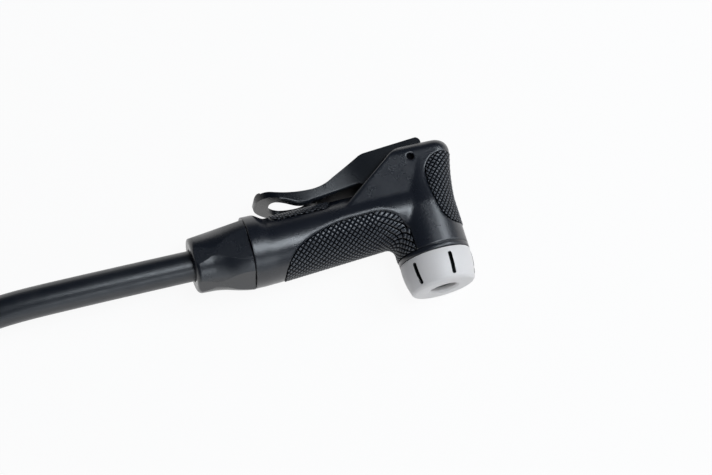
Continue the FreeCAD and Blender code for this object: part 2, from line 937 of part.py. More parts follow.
def biarc(first, first_heading, last, last_heading):
    """Two tangent arcs between two places with given headings."""
    span = last - first
    total = first_heading + last_heading
    spread = 2 * (1 - first_heading.dot(last_heading))
    along = span.dot(total)
    if spread < 1e-9:
        reach = span.dot(span) / (4 * span.dot(last_heading))
    else:
        reach = (math.sqrt(along * along + spread * span.dot(span)) - along) / spread
    first_corner = first + first_heading * reach
    last_corner = last - last_heading * reach
    joint = (first_corner + last_corner) * 0.5
    arcs = []
    for start, corner, end in ((first, first_corner, joint), (joint, last_corner, last)):
        chord_middle = (start + end) * 0.5
        turn = (corner - start).getAngle(end - corner)
        through = chord_middle + (corner - chord_middle) * (math.tan(turn / 4) / math.tan(turn / 2))
        arcs.append(Part.Arc(start, through, end).toShape())
    return arcs


def coil_path():
    """Coil with straight ends one tube diameter long, from its own start place."""
    lead = 2 * hose_radius
    stations = [coil_point(step) for step in range(coil_steps + 1)]
    start, start_heading = stations[0]
    edges = [Part.LineSegment(start - start_heading * lead, start).toShape()]
    for (place, heading), (next_place, next_heading) in zip(stations[:-1], stations[1:]):
        edges += biarc(place, heading, next_place, next_heading)
    end, end_heading = stations[-1]
    edges.append(Part.LineSegment(end, end + end_heading * lead).toShape())
    return edges


def place_coil(shapes):
    """Turn and move coil shapes so that the coil goes on from the free stretch."""
    first = coil_path()[0]
    first_place = first.Vertexes[0].Point
    first_heading = first.tangentAt(first.FirstParameter)
    points = hose_points()
    run_heading = (points[-1] - points[-2]).normalize()
    turn = Rotation(first_heading, run_heading)
    for shape in shapes:
        shape.Placement = Placement(points[-1], turn).multiply(Placement(-first_place, Rotation()))
    return shapes


def print_coil_gap(edges):
    """Least gap of the coil's tube to itself, measured on points along its path."""
    points = []
    travelled = 0.0
    for edge in edges:
        for point in edge.discretize(12)[:-1]:
            points.append((travelled, point))
            travelled += edge.Length / 11
    window = 6 * hose_radius
    least = min(
        (one - other).Length
        for mark, one in points for far, other in points if far - mark > window)
    print("coil length", round(travelled, 1), "least gap", round(least - 2 * hose_radius, 2))


def make_hose_coil():
    edges = coil_path()
    print_coil_gap(edges)
    return place_coil([tube(edges, hose_radius)])[0]


def tail_points():
    """Points of the free tail, which goes on round the coil and comes down beside it."""
    last = place_coil([coil_path()[-1]])[0]
    point = last.Vertexes[-1].Point
    heading = (point - last.Vertexes[0].Point).normalize()
    points = [point]
    for run, turn, height in tail_steps:
        heading = Rotation(z_axis, -turn).multVec(heading)
        point = point + heading * run
        point.z = height - barrel_radius
        points.append(point)
    return points


def make_hose_tail():
    edges = rounded_path(tail_points())
    tail = tube(edges, hose_radius)
    end, heading = hose_far_end()
    return tail.cut(blind_bore(end, heading * -1))


def hose_far_end():
    """Place and heading of the hose's far end."""
    points = tail_points()
    return points[-1], (points[-1] - points[-2]).normalize()


# Connector at the far end, drawn along X from the hose's end face at x = 0

def at_far_end(shape):
    end, heading = hose_far_end()
    shape.Placement = Placement(end, Rotation(x_axis, heading))
    return shape


def make_hose_ferrule():
    inner = hose_radius + ferrule_clearance
    outer = inner + ferrule_wall
    stem = tail_stem_radius + 0.1
    sleeve = along_x([
        (-ferrule_length + ferrule_overhang, inner),
        (-ferrule_length + ferrule_overhang, outer),
        (ferrule_overhang, outer),
        (ferrule_overhang, stem),
        (face_gap, stem),
        (face_gap, inner),
    ])
    for number in range(ferrule_crimps):
        middle = -3.6 - number * 4.4
        ring = Part.makeTorus(outer + 0.9, 1.4, Vector(middle, 0, 0), x_axis)
        sleeve = sleeve.cut(ring)
    return at_far_end(sleeve)


def make_hose_tailpiece():
    head_start = ferrule_overhang + tail_stem_length
    groove = snap_ring_middle() - snap_ring_section - rest_gap
    groove_end = snap_ring_middle() + snap_ring_section + rest_gap
    return at_far_end(along_x([
        (-barb_tail_length, barb_bore_radius),
        (-barb_tail_length, barb_tail_radius),
        (face_gap, barb_tail_radius),
        (face_gap, tail_stem_radius),
        (groove, tail_stem_radius),
        (groove, tail_stem_radius - snap_ring_section),
        (groove_end, tail_stem_radius - snap_ring_section),
        (groove_end, tail_stem_radius),
        (head_start, tail_stem_radius),
        (head_start, tail_head_radius),
        (head_start + tail_head_length, tail_head_radius),
        (head_start + tail_head_length, barb_bore_radius),
    ]))


def nut_back():
    return ferrule_overhang + tail_stem_length - nut_clearance - nut_floor


def snap_ring_middle():
    return nut_back() - nut_clearance - snap_ring_section


def make_swivel_nut():
    """Hexagon nut that turns freely on the tailpiece."""
    corner = nut_flats / math.sqrt(3)
    points = [
        Vector(nut_back(), corner * math.cos(math.radians(60 * number)),
               corner * math.sin(math.radians(60 * number)))
        for number in range(7)
    ]
    nut = Part.Face(Part.makePolygon(points)).extrude(Vector(nut_length, 0, 0))
    rounding = nut_flats / 2 + 0.5
    chamfered = along_x([
        (nut_back(), 0), (nut_back(), rounding), (nut_back() + 1.6, rounding + 1.6),
        (nut_back() + nut_length - 1.6, rounding + 1.6), (nut_back() + nut_length, rounding),
        (nut_back() + nut_length, 0),
    ])
    nut = nut.common(chamfered)
    cuts = [
        cylinder_x(tail_stem_radius + nut_clearance, nut_back() - 1, nut_back() + nut_floor + 1),
        cylinder_x(nut_relief_radius, nut_back() + nut_floor, washer_end()),
        cylinder_x(nut_thread_radius, washer_end() - 1, nut_back() + nut_length + 1),
    ]
    return at_far_end(nut.cut(cuts))


def washer_end():
    return ferrule_overhang + tail_stem_length + tail_head_length + nut_washer_thickness


def make_nut_washer():
    start = washer_end() - nut_washer_thickness
    return at_far_end(along_x([
        (start, barb_bore_radius + 0.4),
        (start, nut_thread_radius - nut_clearance),
        (start + nut_washer_thickness, nut_thread_radius - nut_clearance),
        (start + nut_washer_thickness, barb_bore_radius + 0.4),
    ]))


def make_snap_ring():
    """Open flat ring in the tailpiece's groove, behind the nut."""
    middle = snap_ring_middle()
    inner = tail_stem_radius - snap_ring_section
    outer = tail_stem_radius + snap_ring_section
    ring = along_x([
        (middle - snap_ring_section, inner),
        (middle + snap_ring_section, inner),
        (middle + snap_ring_section, outer),
        (middle - snap_ring_section, outer),
    ])
    reach = 2 * snap_ring_section
    ring = ring.cut(block(
        Vector(middle - reach, 0, -reach), Vector(middle + reach, 2 * tail_stem_radius, reach)))
    return at_far_end(ring)


def to_stand():
    """Move from the axis crossing to the bottom centre of the head as it lies on its side."""
    left = collar_back()
    bottom = barrel_bottom - cap_gap - cap_height
    top = lever_top()
    return Vector(-(left + crown_back) / 2, -(bottom + top) / 2, barrel_radius)


def lever_top():
    return pin_height + lever_side_wire().BoundBox.YMax


def build():
    outside = outer_body(0.0)
    pocket_floor = outer_body(-grip_thickness)
    proud = outer_body(grip_stand)
    nodes = {
        "housing": make_housing(outside, pocket_floor),
        "belly_grip": make_grip(belly_grip_outline(), proud, pocket_floor),
        "back_grip": make_grip(back_grip_outline(), proud, pocket_floor),
        "thumb_grip": make_grip(thumb_grip_outline(), proud, pocket_floor),
        "lever": make_lever(),
        "lever_pin": make_lever_pin(),
        "plunger": make_plunger(),
        "plunger_seal_upper": make_seal(upper_seal_height),
        "plunger_seal_lower": make_seal(lower_seal_height),
        "core_pin": make_core_pin(),
        "gasket": make_gasket(),
        "gasket_washer": make_gasket_washer(),
        "valve_cap": make_valve_cap(),
        "hose_barb": make_hose_barb(),
        "barb_seal": make_barb_seal(),
        "clamp_ring": make_clamp_ring(),
        "hose_collar": make_hose_collar(),
        "hose_run": make_hose_run(),
        "hose_coil": make_hose_coil(),
        "hose_tail": make_hose_tail(),
        "hose_ferrule": make_hose_ferrule(),
        "hose_tailpiece": make_hose_tailpiece(),
        "swivel_nut": make_swivel_nut(),
        "nut_washer": make_nut_washer(),
        "snap_ring": make_snap_ring(),
    }
    os.makedirs("parts", exist_ok=True)
    shift = to_stand()
    for name, shape in nodes.items():
        solid = shape.copy()
        solid.translate(shift)
        print(name, "solids", len(solid.Solids), "valid", solid.isValid(), "volume", round(solid.Volume, 1))
        solid.exportStep("parts/" + name + ".step")


build()
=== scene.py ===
import json
import math

import bmesh
import bpy
import numpy as np
from mathutils import Matrix, Vector


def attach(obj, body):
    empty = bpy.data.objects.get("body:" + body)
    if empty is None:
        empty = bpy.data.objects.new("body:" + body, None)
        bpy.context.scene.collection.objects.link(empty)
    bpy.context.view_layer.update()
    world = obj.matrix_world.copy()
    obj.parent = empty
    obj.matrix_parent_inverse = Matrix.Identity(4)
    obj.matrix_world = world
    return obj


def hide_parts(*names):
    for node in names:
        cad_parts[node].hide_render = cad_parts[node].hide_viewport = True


# Lever valve head of a tire inflator, lying on its side on a pale table, with its coiled hose.
# Metres, and millimetres where a value is multiplied by mm.
# +X runs along the neck to the crown, +Y along the valve axis to the lever, +Z up from the table.

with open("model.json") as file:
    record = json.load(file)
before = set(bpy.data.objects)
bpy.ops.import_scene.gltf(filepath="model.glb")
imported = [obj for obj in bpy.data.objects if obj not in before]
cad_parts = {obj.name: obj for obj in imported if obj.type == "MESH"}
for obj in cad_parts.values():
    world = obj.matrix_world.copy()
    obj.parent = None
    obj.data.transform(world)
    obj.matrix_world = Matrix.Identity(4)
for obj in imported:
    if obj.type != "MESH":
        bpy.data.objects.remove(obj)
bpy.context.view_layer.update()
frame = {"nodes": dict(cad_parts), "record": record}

mm = 0.001
axisPlace = np.array([31.85, 0.675, 12.0]) * mm  # where the neck axis crosses the valve axis
nodeBody = {node: body for body, nodes in frame["record"]["behaviour"]["bodies"].items() for node in nodes}
nodeSlot = {part["node"]: part["material_slot"] for part in frame["record"]["subparts"]}


# Camera

camera = {
    "place": (-0.09656, -0.12400, 0.42551),
    "right": (0.9478, -0.2766, 0.1586),
    "up": (0.2143, 0.9209, 0.3257),
    "back": (-0.2361, -0.2747, 0.9321),
    "lens": 68.19,
    "sensor": 36.0,
    "nearest": 0.02,
}


def makeCamera(look):
    # the camera's right, up and back are the columns of its turn
    data = bpy.data.cameras.new("camera")
    data.lens = look["lens"]
    data.sensor_width = look["sensor"]
    data.clip_start = look["nearest"]
    turn = Matrix((look["right"], look["up"], look["back"])).transposed().to_4x4()
    holder = bpy.data.objects.new("camera", data)
    holder.matrix_world = Matrix.Translation(look["place"]) @ turn
    bpy.context.scene.collection.objects.link(holder)
    bpy.context.scene.camera = holder


makeCamera(camera)
print("camera placed")


# Hose, one smooth curve whose control points are the route of the CAD tubes, in millimetres

hose = {
    "diameter": 0.010,
    "length": 0.890,
    "stretch": [
        (-38.85, 0.675, 12.0),
        (-75.15, 0.675, 12.0),
        (-112.65, 0.475, 11.0),
        (-131.25, -3.625, 5.0),
        (-149.40, -12.125, 5.0),
    ],
    "coilCentre": (-183.451, 33.013, 5.0),
    "coilTurn": -63.1284,
    "coilRadius": 55.3,
    "layerStep": 10.6,
    "steps": 9,
    "stepAngle": 88.5,
    "climbStart": 3.5,
    "climbSteps": 2,
    "pointsPerStep": 4,
    "placesPerPoint": 8,
    "sides": 32,
    "edgeAngle": 60.0,
    "tail": [
        (-232.293, 4.607, 15.6),
        (-243.030, 16.469, 15.6),
        (-251.382, 32.414, 13.6),
        (-255.630, 49.905, 11.4),
        (-255.834, 67.904, 10.4),
    ],
}


def coilPoints(size):
    # radius falls by a quarter of the layer step at each step, then rises again
    # height = layer step * (3 t^2 - 2 t^3), with t from 0 to 1 over the climb
    step = np.linspace(0, size["steps"], size["steps"] * size["pointsPerStep"] + 1)
    inward = np.minimum(step, size["steps"] - step)
    radius = size["coilRadius"] - size["layerStep"] / 4 * inward
    climb = np.clip((step - size["climbStart"]) / size["climbSteps"], 0, 1)
    height = size["layerStep"] * climb * climb * (3 - 2 * climb)
    angle = np.radians(size["coilTurn"] - size["stepAngle"] * step)
    flat = np.stack([radius * np.cos(angle), radius * np.sin(angle), height], axis=1)
    return flat + np.array(size["coilCentre"])


def hoseLine(size):
    # the route's points are the control points of one smooth NURBS line, read back as places along it
    route = np.vstack([size["stretch"], coilPoints(size), size["tail"]]) * mm
    curve = bpy.data.curves.new("hoseRoute", "CURVE")
    curve.dimensions = "3D"
    curve.resolution_u = size["placesPerPoint"]
    spline = curve.splines.new("NURBS")
    spline.points.add(len(route) - 1)
    spline.points.foreach_set("co", np.hstack([route, np.ones((len(route), 1))]).ravel())
    spline.order_u = 3
    spline.use_endpoint_u = True
    holder = bpy.data.objects.new("hoseRoute", curve)
    mesh = bpy.data.meshes.new_from_object(holder)
    places = np.empty(len(mesh.vertices) * 3)
    mesh.vertices.foreach_get("co", places)
    bpy.data.objects.remove(holder)
    bpy.data.meshes.remove(mesh)
    return places.reshape(-1, 3)


def makeHose(size):
    # a circle carried along the line: place + radius * (side * cos a + over * sin a),
    # where side is level and over is square to side and line
    line = hoseLine(size)
    ahead = np.gradient(line, axis=0)
    ahead /= np.linalg.norm(ahead, axis=1, keepdims=True)
    side = np.cross(ahead, [0, 0, 1])
    side /= np.linalg.norm(side, axis=1, keepdims=True)
    over = np.cross(side, ahead)
    around = np.arange(size["sides"]) * 2 * math.pi / size["sides"]
    ring = side[:, None] * np.cos(around)[:, None] + over[:, None] * np.sin(around)[:, None]
    points = (line[:, None] + size["diameter"] / 2 * ring).reshape(-1, 3)
    count, sides = len(line), size["sides"]
    row, column = np.meshgrid(np.arange(count - 1), np.arange(sides), indexing="ij")
    after = (column + 1) % sides
    faces = np.stack([
        row * sides + column, (row + 1) * sides + column,
        (row + 1) * sides + after, row * sides + after], axis=-1).reshape(-1, 4)
    ends = [list(range(sides)), list(range(count * sides - 1, (count - 1) * sides - 1, -1))]
    mesh = bpy.data.meshes.new("hose")
    mesh.from_pydata(points.tolist(), [], faces.tolist() + ends)
    travelled = np.concatenate([[0], np.cumsum(np.linalg.norm(np.diff(line, axis=0), axis=1))])
    acrossSurface = np.pi * size["diameter"] / sides
    flat = np.stack([
        travelled[row], column * acrossSurface, travelled[row + 1], column * acrossSurface,
        travelled[row + 1], (column + 1) * acrossSurface, travelled[row], (column + 1) * acrossSurface,
    ], axis=-1).reshape(-1)
    layout = mesh.uv_layers.new(name="surface")
    layout.uv.foreach_set("vector", np.concatenate([flat, np.zeros(4 * sides)]))
    mesh.shade_smooth()
    mesh.set_sharp_from_angle(angle=math.radians(size["edgeAngle"]))
    piece = bpy.data.objects.new("hose", mesh)
    bpy.context.scene.collection.objects.link(piece)
    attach(piece, "head")
    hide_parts("hose_run", "hose_coil", "hose_tail")
    return piece, line


hosePiece, hosePlaces = makeHose(hose)
print("hose laid")


# Shader groups

def link(tree, source, target):
    tree.links.new(source, target)


def newGroup(name, inputs, outputs):
    # an empty group with number inputs at their values and outputs of the named kinds
    tree = bpy.data.node_groups.new(name, "ShaderNodeTree")
    for label, value in inputs.items():
        socket = tree.interface.new_socket(label, in_out="INPUT", socket_type="NodeSocketFloat")
        socket.default_value = value
    for label, kind in outputs.items():
        tree.interface.new_socket(label, in_out="OUTPUT", socket_type=kind)
    return tree, tree.nodes.new("NodeGroupInput"), tree.nodes.new("NodeGroupOutput")


mouldGrain = {
    "scale": 3600.0, "detail": 3.0, "roughness": 0.6, "bump": 0.4, "depth": 0.00003,
    "mottleScale": 90.0, "mottleDetail": 4.0, "mottleLow": 0.3, "mottleHigh": 0.7,
}


def makeGrainGroup(look):
    # height = fine fractal noise, mottle = slow fractal noise, both on Object coordinates
    tree, given, out = newGroup(
        "mouldGrain",
        {"Grain Scale": look["scale"], "Mottle Scale": look["mottleScale"]},
        {"Height": "NodeSocketFloat", "Mottle": "NodeSocketFloat"})
    place = tree.nodes.new("ShaderNodeTexCoord")
    fine = tree.nodes.new("ShaderNodeTexNoise")
    fine.inputs["Detail"].default_value = look["detail"]
    fine.inputs["Roughness"].default_value = look["roughness"]
    slow = tree.nodes.new("ShaderNodeTexNoise")
    slow.inputs["Detail"].default_value = look["mottleDetail"]
    for noise in (fine, slow):
        link(tree, place.outputs["Object"], noise.inputs["Vector"])
    link(tree, given.outputs["Grain Scale"], fine.inputs["Scale"])
    link(tree, given.outputs["Mottle Scale"], slow.inputs["Scale"])
    link(tree, fine.outputs["Fac"], out.inputs["Height"])
    link(tree, slow.outputs["Fac"], out.inputs["Mottle"])
    return tree


grainGroup = makeGrainGroup(mouldGrain)


# Pitch in metres, the others as shares of the lattice's height: the studs' slopes, and those of the painted
# shade in their grooves
studs = {"pitch": 0.00132, "foot": 0.08, "top": 0.70, "gapFoot": 0.05, "gapTop": 0.35}


def makeDiamondGroup():
    # studs on a square lattice turned 45 degrees: 1 - max(|2 fract(u + v) - 1|, |2 fract(u - v) - 1|),
    # with u and v in steps of pitch * root 2, eased from the studs' foot to their flat top
    tree, given, out = newGroup("gripDiamonds", {"Pitch": studs["pitch"]}, {"Height": "NodeSocketFloat"})

    def calculate(operation, first, second=None):
        node = tree.nodes.new("ShaderNodeMath")
        node.operation = operation
        for socket, value in zip(node.inputs, (first, second)):
            if isinstance(value, (int, float)):
                socket.default_value = value
            elif value is not None:
                link(tree, value, socket)
        return node.outputs[0]

    place = tree.nodes.new("ShaderNodeUVMap")
    place.uv_map = "diamonds"
    split = tree.nodes.new("ShaderNodeSeparateXYZ")
    link(tree, place.outputs["UV"], split.inputs[0])
    step = calculate("MULTIPLY", given.outputs["Pitch"], math.sqrt(2))
    waves = []
    for operation in ("ADD", "SUBTRACT"):
        slant = calculate(operation, split.outputs["X"], split.outputs["Y"])
        turn = calculate("FRACT", calculate("DIVIDE", slant, step))
        swing = calculate("SUBTRACT", calculate("MULTIPLY", turn, 2.0), 1.0)
        waves.append(calculate("ABSOLUTE", swing))
    stud = tree.nodes.new("ShaderNodeMapRange")
    stud.interpolation_type = "SMOOTHSTEP"
    stud.inputs["From Min"].default_value = studs["foot"]
    stud.inputs["From Max"].default_value = studs["top"]
    height = calculate("SUBTRACT", 1.0, calculate("MAXIMUM", waves[0], waves[1]))
    link(tree, height, stud.inputs["Value"])
    link(tree, stud.outputs["Result"], out.inputs["Height"])
    return tree


diamondGroup = makeDiamondGroup()


# Millimetres from the crossing of the two axes
blendRegion = {"x": (-46.0, -40.0, 10.0, 13.0), "y": (-9.0, -5.0, 9.0, 13.0)}
edgeSamples = {"plain": 4, "blended": 8}


def boxMask(tree, region):
    # each axis rises from 0 to 1 between its first two places and falls between its last two,
    # and the mask is the product of the two axes
    place = tree.nodes.new("ShaderNodeTexCoord")
    split = tree.nodes.new("ShaderNodeSeparateXYZ")
    link(tree, place.outputs["Object"], split.inputs[0])
    mask = tree.nodes.new("ShaderNodeMath")
    mask.operation = "MULTIPLY"
    for index, axis in enumerate("xy"):
        ends = np.array(region[axis]) * mm + axisPlace[index]
        pair = tree.nodes.new("ShaderNodeMath")
        pair.operation = "MULTIPLY"
        for slot, (low, high) in enumerate(((ends[0], ends[1]), (ends[3], ends[2]))):
            ramp = tree.nodes.new("ShaderNodeMapRange")
            ramp.interpolation_type = "SMOOTHSTEP"
            ramp.inputs["From Min"].default_value = low
            ramp.inputs["From Max"].default_value = high
            link(tree, split.outputs[index], ramp.inputs["Value"])
            link(tree, ramp.outputs["Result"], pair.inputs[slot])
        link(tree, pair.outputs[0], mask.inputs[index])
    return mask.outputs[0]


def addDiamonds(tree, shader, tint, bump, look):
    # colour = painted shade colour in the grooves and tint on the studs; metallic = 1 in the grooves, so that
    # their shine takes that near black too: painted shade for grooves too narrow to mirror anything
    lattice = tree.nodes.new("ShaderNodeGroup")
    lattice.node_tree = diamondGroup
    relief = tree.nodes.new("ShaderNodeBump")
    relief.inputs["Strength"].default_value = 1.0
    relief.inputs["Distance"].default_value = look["depth"]
    link(tree, lattice.outputs["Height"], relief.inputs["Height"])
    link(tree, relief.outputs["Normal"], bump.inputs["Normal"])
    # painted shade mask: 0 in the grooves, 1 on the studs
    gap = tree.nodes.new("ShaderNodeMapRange")
    gap.inputs["From Min"].default_value = studs["gapFoot"]
    gap.inputs["From Max"].default_value = studs["gapTop"]
    link(tree, lattice.outputs["Height"], gap.inputs["Value"])
    grooveShadeMix = tree.nodes.new("ShaderNodeMix")
    grooveShadeMix.data_type = "RGBA"
    grooveShadeMix.inputs["A"].default_value = (*look["gap"], 1)
    link(tree, gap.outputs["Result"], grooveShadeMix.inputs["Factor"])
    link(tree, tint.outputs["Result"], grooveShadeMix.inputs["B"])
    link(tree, grooveShadeMix.outputs["Result"], shader.inputs["Base Color"])
    grooveShadeMetal = tree.nodes.new("ShaderNodeMath")
    grooveShadeMetal.operation = "SUBTRACT"
    grooveShadeMetal.inputs[0].default_value = 1.0
    link(tree, gap.outputs["Result"], grooveShadeMetal.inputs[1])
    link(tree, grooveShadeMetal.outputs[0], shader.inputs["Metallic"])


def addStreaks(tree, bump, look):
    # long fine lines along the hose: noise on the surface map, stretched along it
    layout = tree.nodes.new("ShaderNodeUVMap")
    layout.uv_map = "surface"
    stretch = tree.nodes.new("ShaderNodeVectorMath")
    stretch.operation = "MULTIPLY"
    stretch.inputs[1].default_value = (*look["scale"], 1.0)
    lines = tree.nodes.new("ShaderNodeTexNoise")
    lines.inputs["Scale"].default_value = 1.0
    lines.inputs["Detail"].default_value = look["detail"]
    drawn = tree.nodes.new("ShaderNodeBump")
    drawn.inputs["Strength"].default_value = look["bump"]
    drawn.inputs["Distance"].default_value = look["depth"]
    link(tree, layout.outputs["UV"], stretch.inputs[0])
    link(tree, stretch.outputs[0], lines.inputs["Vector"])
    link(tree, lines.outputs["Fac"], drawn.inputs["Height"])
    link(tree, drawn.outputs["Normal"], bump.inputs["Normal"])


def addSoftEdges(tree, bump, finish):
    # normals rounded over the edge radius, which grows to the blend radius inside the blend region
    edge = tree.nodes.new("ShaderNodeBevel")
    edge.samples = edgeSamples["blended" if finish.get("blend") else "plain"]
    edge.inputs["Radius"].default_value = finish["edge"]
    if finish.get("blend"):
        blend = tree.nodes.new("ShaderNodeMapRange")
        blend.inputs["To Min"].default_value = finish["edge"]
        blend.inputs["To Max"].default_value = finish["blend"]
        link(tree, boxMask(tree, blendRegion), blend.inputs["Value"])
        link(tree, blend.outputs["Result"], edge.inputs["Radius"])
    link(tree, edge.outputs["Normal"], bump.inputs["Normal"])


def newMaterial(name, finish):
    # grain height drives the bump and mixes the two colours; mottle moves the roughness between its ends
    material = bpy.data.materials.new(name)
    material.use_nodes = True
    tree = material.node_tree
    shader = tree.nodes["Principled BSDF"]
    shader.inputs["Specular IOR Level"].default_value = finish.get("specular", 0.5)
    shader.inputs["Metallic"].default_value = finish.get("metallic", 0.0)
    grain = tree.nodes.new("ShaderNodeGroup")
    grain.node_tree = grainGroup
    grain.inputs["Grain Scale"].default_value = finish.get("grainScale", mouldGrain["scale"])
    grain.inputs["Mottle Scale"].default_value = finish.get("mottleScale", mouldGrain["mottleScale"])
    rough = tree.nodes.new("ShaderNodeMapRange")
    rough.inputs["From Min"].default_value = mouldGrain["mottleLow"]
    rough.inputs["From Max"].default_value = mouldGrain["mottleHigh"]
    rough.inputs["To Min"].default_value = finish["roughness"][0]
    rough.inputs["To Max"].default_value = finish["roughness"][1]
    link(tree, grain.outputs["Mottle"], rough.inputs["Value"])
    link(tree, rough.outputs["Result"], shader.inputs["Roughness"])
    tint = tree.nodes.new("ShaderNodeMix")
    tint.data_type = "RGBA"
    tint.inputs["A"].default_value = (*finish["colour"][0], 1)
    tint.inputs["B"].default_value = (*finish["colour"][1], 1)
    link(tree, grain.outputs["Height"], tint.inputs["Factor"])
    link(tree, tint.outputs["Result"], shader.inputs["Base Color"])
    bump = tree.nodes.new("ShaderNodeBump")
    bump.inputs["Strength"].default_value = finish.get("bump", mouldGrain["bump"])
    bump.inputs["Distance"].default_value = finish.get("grainDepth", mouldGrain["depth"])
    link(tree, grain.outputs["Height"], bump.inputs["Height"])
    if finish.get("diamonds"):
        addDiamonds(tree, shader, tint, bump, finish["diamonds"])
    if finish.get("streaks"):
        addStreaks(tree, bump, finish["streaks"])
    if finish.get("edge"):
        addSoftEdges(tree, bump, finish)
    link(tree, bump.outputs["Normal"], shader.inputs["Normal"])
    return material


brass = ((0.60, 0.44, 0.20), (0.72, 0.55, 0.28))
# near black, used as painted shade: on the faces in the slots and under the lever, and on the pin in its hole
shadeBlack = ((0.003, 0.003, 0.004), (0.006, 0.006, 0.007))
finishes = {
    "body_shell": {
        "colour": ((0.0035, 0.005, 0.009), (0.008, 0.011, 0.018)), "roughness": (0.26, 0.31),
        "specular": 0.85, "grainScale": 4200.0, "grainDepth": 0.00006, "bump": 0.6,
        "edge": 0.0009, "blend": 0.0022},
    "collar_shell": {
        "colour": ((0.0035, 0.005, 0.009), (0.007, 0.010, 0.016)), "roughness": (0.25, 0.31),
        "specular": 0.85, "grainScale": 4200.0, "grainDepth": 0.00005, "bump": 0.6, "edge": 0.0002},
    "grip_rubber": {
        "colour": ((0.032, 0.036, 0.045), (0.044, 0.049, 0.060)), "roughness": (0.30, 0.38), "specular": 1.0,
        "grainScale": 6000.0, "grainDepth": 0.00002, "bump": 0.3,
        # the diamonds' groove colour is painted shade in the grooves between the studs
        "diamonds": {"depth": 0.00036, "gap": (0.0015, 0.0020, 0.0030)}},
    "lever_black": {
        "colour": ((0.002, 0.003, 0.005), (0.005, 0.007, 0.011)), "roughness": (0.24, 0.30), "specular": 0.4,
        "grainScale": 3800.0, "grainDepth": 0.00003, "bump": 0.4},
    "cap_plastic": {
        "colour": ((0.78, 0.735, 0.705), (0.82, 0.775, 0.745)), "roughness": (0.38, 0.46),
        "grainScale": 2600.0, "grainDepth": 0.00002, "bump": 0.3, "edge": 0.0002},
    "hose_rubber": {
        "colour": ((0.003, 0.005, 0.009), (0.007, 0.010, 0.016)), "roughness": (0.30, 0.40), "specular": 0.8,
        "grainScale": 1500.0, "mottleScale": 260.0, "grainDepth": 0.00003, "bump": 0.3,
        "streaks": {"scale": (30.0, 1800.0), "detail": 3.0, "bump": 0.6, "depth": 0.00006}},
    # the steel pin is coloured near black: painted shade of the hole it sits in
    "pin_steel": {"colour": shadeBlack, "roughness": (0.35, 0.48), "metallic": 1.0},
    # painted shade for the faces in the slots, the port's bore and under the lever
    "slotShade": {"colour": shadeBlack, "roughness": (0.60, 0.70), "specular": 0.15},
    "plunger_plastic": {
        "colour": ((0.60, 0.59, 0.56), (0.68, 0.67, 0.64)), "roughness": (0.38, 0.48)},
    "seal_rubber": {
        "colour": ((0.012, 0.012, 0.013), (0.018, 0.018, 0.019)), "roughness": (0.45, 0.58)},
    "core_brass": {"colour": brass, "roughness": (0.24, 0.36), "metallic": 1.0},
    "gasket_rubber": {
        "colour": ((0.020, 0.020, 0.022), (0.030, 0.030, 0.032)), "roughness": (0.50, 0.62)},
    "washer_steel": {
        "colour": ((0.50, 0.50, 0.50), (0.60, 0.60, 0.60)), "roughness": (0.28, 0.40), "metallic": 1.0},
    "tail_brass": {"colour": brass, "roughness": (0.24, 0.36), "metallic": 1.0},
    "clamp_plastic": {
        "colour": ((0.66, 0.65, 0.61), (0.74, 0.73, 0.69)), "roughness": (0.38, 0.48)},
    "ferrule_steel": {
        "colour": ((0.52, 0.52, 0.53), (0.62, 0.62, 0.63)), "roughness": (0.26, 0.40), "metallic": 1.0},
    "nut_brass": {"colour": brass, "roughness": (0.26, 0.38), "metallic": 1.0, "edge": 0.0002},
}
materials = {name: newMaterial(name, finish) for name, finish in finishes.items()}
hosePiece.data.materials.append(materials["hose_rubber"])
print("materials made:", len(materials))


# CAD pieces carried over, welded and smoothed between their real edges

smoothing = {"weld": 3e-6, "edgeAngle": 34.0, "flatArea": 3e-5, "flatMatch": 0.004}


def weldedCopy(node):
    # the node's triangles with their doubles merged
    mesh = frame["nodes"][node].data.copy()
    mesh.name = node + "Skin"
    work = bmesh.new()
    work.from_mesh(mesh)
    bmesh.ops.remove_doubles(work, verts=work.verts, dist=smoothing["weld"])
    bmesh.ops.dissolve_degenerate(work, edges=work.edges, dist=smoothing["weld"])
    work.to_mesh(mesh)
    work.free()
    return mesh


def addPiece(name, mesh, node):
    # the new mesh takes the node's place, body and finish
    piece = bpy.data.objects.new(name, mesh)
    bpy.context.scene.collection.objects.link(piece)
    mesh.materials.clear()
    mesh.materials.append(materials[nodeSlot[node]])
    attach(piece, nodeBody[node])
    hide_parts(node)
    return piece


def edgeFaces(mesh):
    # the two faces of each edge that has just two, found by sorting the face corners by their edge
    sizes = np.empty(len(mesh.polygons), dtype=np.int32)
    mesh.polygons.foreach_get("loop_total", sizes)
    edges = np.empty(len(mesh.loops), dtype=np.int32)
    mesh.loops.foreach_get("edge_index", edges)
    faces = np.repeat(np.arange(len(sizes)), sizes)
    order = np.argsort(edges, kind="stable")
    both = np.flatnonzero(edges[order[:-1]] == edges[order[1:]])
    both = both[np.bincount(edges, minlength=len(mesh.edges))[edges[order[both]]] == 2]
    return edges[order[both]], faces[order[both]], faces[order[both + 1]]


def flatLabels(mesh, normals, size):
    # faces that share one direction over enough area are a flat with a number of its own, all others are 0
    areas = np.empty(len(mesh.polygons))
    mesh.polygons.foreach_get("area", areas)
    keys = np.round(normals / size["flatMatch"]).astype(int)
    group = np.unique(keys, axis=0, return_inverse=True)[1].ravel()
    return np.where(np.bincount(group, weights=areas)[group] > size["flatArea"], group + 1, 0)


